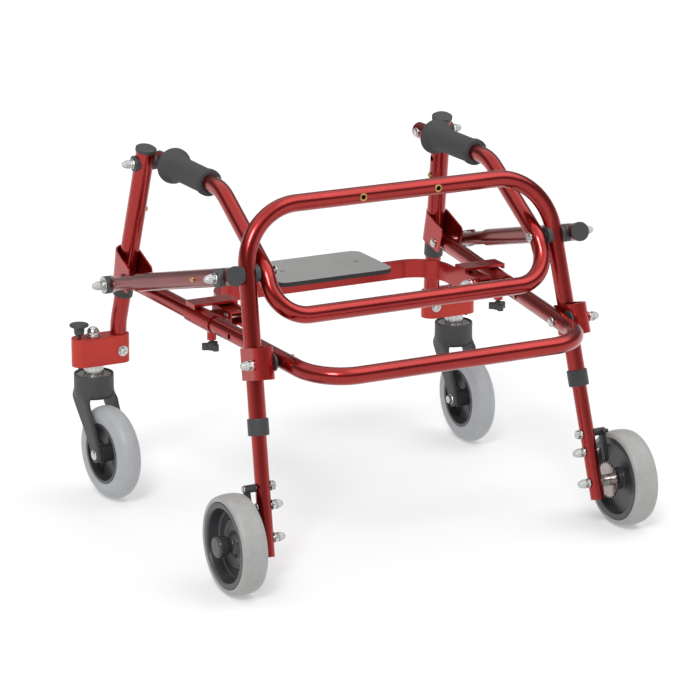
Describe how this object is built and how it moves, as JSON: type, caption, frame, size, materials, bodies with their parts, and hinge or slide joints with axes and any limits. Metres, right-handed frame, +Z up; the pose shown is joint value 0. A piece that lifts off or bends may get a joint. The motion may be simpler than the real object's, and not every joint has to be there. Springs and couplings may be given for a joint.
{
  "type": "posterior walker",
  "caption": "Folding posterior walker with a bent tube frame, padded hand grips, fold-up seat board, swivelling front casters and ratcheted rear wheels.",
  "frame": {"origin": "on the floor under the middle of the bounding box", "axes": "+Z up, +Y the walking direction, towards the casters, +X the user's right-hand side"},
  "size_m": [0.62, 0.5342, 0.4827],
  "materials": {
    "frame_red": "candy red anodised tube with a satin gloss",
    "sheet_red": "red coated sheet and castings, satin",
    "zinc_hardware": "bright zinc plated, domed clear caps on the nuts",
    "strut_hardware": "zinc plated nut with black plastic spacers",
    "black_plastic": "moulded charcoal black",
    "lever_black": "moulded black",
    "fork_black": "moulded glass filled charcoal",
    "hub_black": "moulded black, slightly glossy",
    "grip_foam": "matte charcoal grip",
    "brass": "yellow brass",
    "tyre_rear": "grey speckled soft tyre",
    "tyre_caster": "light grey soft tyre",
    "ratchet_steel": "plated toothed ring",
    "seat_board": "grey laminate top with a near black edge"
  },
  "bodies": {
    "rear_frame": {"rear_frame_tube": "frame_red", "rear_frame_inserts": "brass", "rear_pivot_brackets": "sheet_red", "rear_frame_plastics": "black_plastic", "rear_pivot_bolts": "zinc_hardware"},
    "handlebar": {"handlebar_tube": "frame_red", "hand_grips": "grip_foam", "handlebar_bolts": "zinc_hardware"},
    "lower_rail": {"lower_rail_tube": "frame_red", "seat_sleeves": "sheet_red", "seat_pivot_bolts": "zinc_hardware"},
    "seat": {"seat_bow": "sheet_red", "seat_board": "seat_board", "seat_screws": "zinc_hardware"},
    "posts": {"front_posts": "frame_red", "post_gussets": "sheet_red", "front_post_plastics": "black_plastic", "front_post_bolts": "zinc_hardware"},
    "struts": {"strut_outers": "frame_red", "strut_plastics": "black_plastic"},
    "strut_rod_right": {"strut_inner_right": "frame_red", "strut_front_hardware_right": "strut_hardware"},
    "strut_lock_right": {"strut_button_right": "brass"},
    "strut_rod_left": {"strut_inner_left": "frame_red", "strut_front_hardware_left": "strut_hardware"},
    "strut_lock_left": {"strut_button_left": "brass"},
    "rear_leg_body_right": {"rear_leg_right": "frame_red", "rear_axle_hardware_right": "zinc_hardware"},
    "rear_wheel_right": {"rear_tyre_right": "tyre_rear", "rear_hub_right": "hub_black", "ratchet_ring_right": "ratchet_steel"},
    "ratchet_pawl_right": {"pawl_right": "lever_black"},
    "rear_button_right": {"rear_snap_button_right": "brass"},
    "rear_leg_body_left": {"rear_leg_left": "frame_red", "rear_axle_hardware_left": "zinc_hardware"},
    "rear_wheel_left": {"rear_tyre_left": "tyre_rear", "rear_hub_left": "hub_black", "ratchet_ring_left": "ratchet_steel"},
    "ratchet_pawl_left": {"pawl_left": "lever_black"},
    "rear_button_left": {"rear_snap_button_left": "brass"},
    "front_leg_body_right": {"front_leg_right": "frame_red", "caster_block_right": "sheet_red", "stem_hardware_right": "zinc_hardware"},
    "front_button_right": {"front_snap_button_right": "brass"},
    "swivel_lock_right": {"plunger_right": "black_plastic"},
    "caster_swivel_right": {"caster_fork_right": "fork_black", "caster_axle_right": "zinc_hardware"},
    "caster_wheel_right": {"caster_tyre_right": "tyre_caster", "caster_hub_right": "hub_black"},
    "wing_knob_body_right": {"wing_knob_right": "black_plastic"},
    "front_leg_body_left": {"front_leg_left": "frame_red", "caster_block_left": "sheet_red", "stem_hardware_left": "zinc_hardware"},
    "front_button_left": {"front_snap_button_left": "brass"},
    "swivel_lock_left": {"plunger_left": "black_plastic"},
    "caster_swivel_left": {"caster_fork_left": "fork_black", "caster_axle_left": "zinc_hardware"},
    "caster_wheel_left": {"caster_tyre_left": "tyre_caster", "caster_hub_left": "hub_black"},
    "wing_knob_body_left": {"wing_knob_left": "black_plastic"}
  },
  "joints": [
    {"name": "frame_fold", "type": "hinge", "parent": "rear_frame", "child": "lower_rail", "pos_m": [0, -0.17065, 0.2795], "axis": [1, 0, 0], "range_deg": [-80, 0]},
    {"name": "handlebar_fold", "type": "hinge", "parent": "rear_frame", "child": "handlebar", "pos_m": [0, -0.11615, 0.3795], "axis": [1, 0, 0], "range_deg": [-90.7, 0]},
    {"name": "post_fold", "type": "hinge", "parent": "lower_rail", "child": "posts", "pos_m": [0, 0.19735, 0.296], "axis": [1, 0, 0], "range_deg": [0, 59]},
    {"name": "strut_fold", "type": "hinge", "parent": "rear_frame", "child": "struts", "pos_m": [0, -0.11615, 0.3795], "axis": [1, 0, 0], "range_deg": [-71.9, 0]},
    {"name": "strut_slide_right", "type": "slide", "parent": "struts", "child": "strut_rod_right", "axis": [0.0539, 0.9649, -0.257], "range_m": [0, 0.13613]},
    {"name": "strut_button_press_right", "type": "slide", "parent": "struts", "child": "strut_lock_right", "axis": [-1, 0, 0], "range_m": [0, 0.003], "stiffness_N_per_m": 600, "springref_m": -0.002},
    {"name": "strut_slide_left", "type": "slide", "parent": "struts", "child": "strut_rod_left", "axis": [-0.0539, 0.9649, -0.257], "range_m": [0, 0.13613]},
    {"name": "strut_button_press_left", "type": "slide", "parent": "struts", "child": "strut_lock_left", "axis": [1, 0, 0], "range_m": [0, 0.003], "stiffness_N_per_m": 600, "springref_m": -0.002},
    {"name": "rear_leg_height_right", "type": "slide", "parent": "rear_frame", "child": "rear_leg_body_right", "axis": [0.0554, -0.2664, -0.9623], "range_m": [-0.0254, 0.0508]},
    {"name": "rear_button_press_right", "type": "slide", "parent": "rear_frame", "child": "rear_button_right", "axis": [0, -1, 0], "range_m": [0, 0.003], "stiffness_N_per_m": 600, "springref_m": -0.002},
    {"name": "rear_wheel_spin_right", "type": "hinge", "parent": "rear_leg_body_right", "child": "rear_wheel_right", "pos_m": [0.2828, -0.20365, 0.0635], "axis": [1, 0, 0], "continuous": true},
    {"name": "pawl_lift_right", "type": "hinge", "parent": "rear_leg_body_right", "child": "ratchet_pawl_right", "pos_m": [0.259, -0.1864, 0.1258], "axis": [1, 0, 0], "range_deg": [0, 25]},
    {"name": "rear_leg_height_left", "type": "slide", "parent": "rear_frame", "child": "rear_leg_body_left", "axis": [-0.0554, -0.2664, -0.9623], "range_m": [-0.0254, 0.0508]},
    {"name": "rear_button_press_left", "type": "slide", "parent": "rear_frame", "child": "rear_button_left", "axis": [0, -1, 0], "range_m": [0, 0.003], "stiffness_N_per_m": 600, "springref_m": -0.002},
    {"name": "rear_wheel_spin_left", "type": "hinge", "parent": "rear_leg_body_left", "child": "rear_wheel_left", "pos_m": [-0.2828, -0.20365, 0.0635], "axis": [1, 0, 0], "continuous": true},
    {"name": "pawl_lift_left", "type": "hinge", "parent": "rear_leg_body_left", "child": "ratchet_pawl_left", "pos_m": [-0.259, -0.1864, 0.1258], "axis": [1, 0, 0], "range_deg": [0, 25]},
    {"name": "front_leg_height_right", "type": "slide", "parent": "posts", "child": "front_leg_body_right", "axis": [0.0739, 0.2217, -0.9723], "range_m": [-0.0254, 0.0508]},
    {"name": "front_button_press_right", "type": "slide", "parent": "posts", "child": "front_button_right", "axis": [1, 0, 0], "range_m": [0, 0.003], "stiffness_N_per_m": 600, "springref_m": -0.002},
    {"name": "plunger_press_right", "type": "slide", "parent": "front_leg_body_right", "child": "swivel_lock_right", "axis": [0, 0, 1], "range_m": [-0.0038, 0]},
    {"name": "caster_turn_right", "type": "hinge", "parent": "front_leg_body_right", "child": "caster_swivel_right", "pos_m": [0.278, 0.24035, 0.15], "axis": [0, 0, 1], "continuous": true},
    {"name": "caster_spin_right", "type": "hinge", "parent": "caster_swivel_right", "child": "caster_wheel_right", "pos_m": [0.27725, 0.19736, 0.0635], "axis": [0.9998, -0.0175, 0], "continuous": true},
    {"name": "knob_turn_right", "type": "hinge", "parent": "lower_rail", "child": "wing_knob_body_right", "pos_m": [0.21266, 0.00735, 0.255], "axis": [0, 0, 1], "range_deg": [0, 360]},
    {"name": "front_leg_height_left", "type": "slide", "parent": "posts", "child": "front_leg_body_left", "axis": [-0.0739, 0.2217, -0.9723], "range_m": [-0.0254, 0.0508]},
    {"name": "front_button_press_left", "type": "slide", "parent": "posts", "child": "front_button_left", "axis": [-1, 0, 0], "range_m": [0, 0.003], "stiffness_N_per_m": 600, "springref_m": -0.002},
    {"name": "plunger_press_left", "type": "slide", "parent": "front_leg_body_left", "child": "swivel_lock_left", "axis": [0, 0, 1], "range_m": [-0.0038, 0]},
    {"name": "caster_turn_left", "type": "hinge", "parent": "front_leg_body_left", "child": "caster_swivel_left", "pos_m": [-0.278, 0.24035, 0.15], "axis": [0, 0, 1], "continuous": true},
    {"name": "caster_spin_left", "type": "hinge", "parent": "caster_swivel_left", "child": "caster_wheel_left", "pos_m": [-0.2735, 0.19759, 0.0635], "axis": [-0.9945, -0.1045, 0], "continuous": true},
    {"name": "knob_turn_left", "type": "hinge", "parent": "lower_rail", "child": "wing_knob_body_left", "pos_m": [-0.21266, 0.00735, 0.255], "axis": [0, 0, 1], "range_deg": [0, 360]},
    {"name": "seat_flip", "type": "hinge", "parent": "lower_rail", "child": "seat", "pos_m": [0, 0.00435, 0.29], "axis": [1, 0, 0], "range_deg": [0, 95]}
  ],
  "couplings": [
    {"joint": "handlebar_fold", "follows": "frame_fold", "ratio": 1.1335},
    {"joint": "post_fold", "follows": "frame_fold", "ratio": -0.73732},
    {"joint": "strut_fold", "follows": "frame_fold", "ratio": 0.89863},
    {"joint": "strut_slide_right", "follows": "frame_fold", "m_per_rad": -0.097422},
    {"joint": "strut_slide_left", "follows": "frame_fold", "m_per_rad": -0.097422}
  ]
}
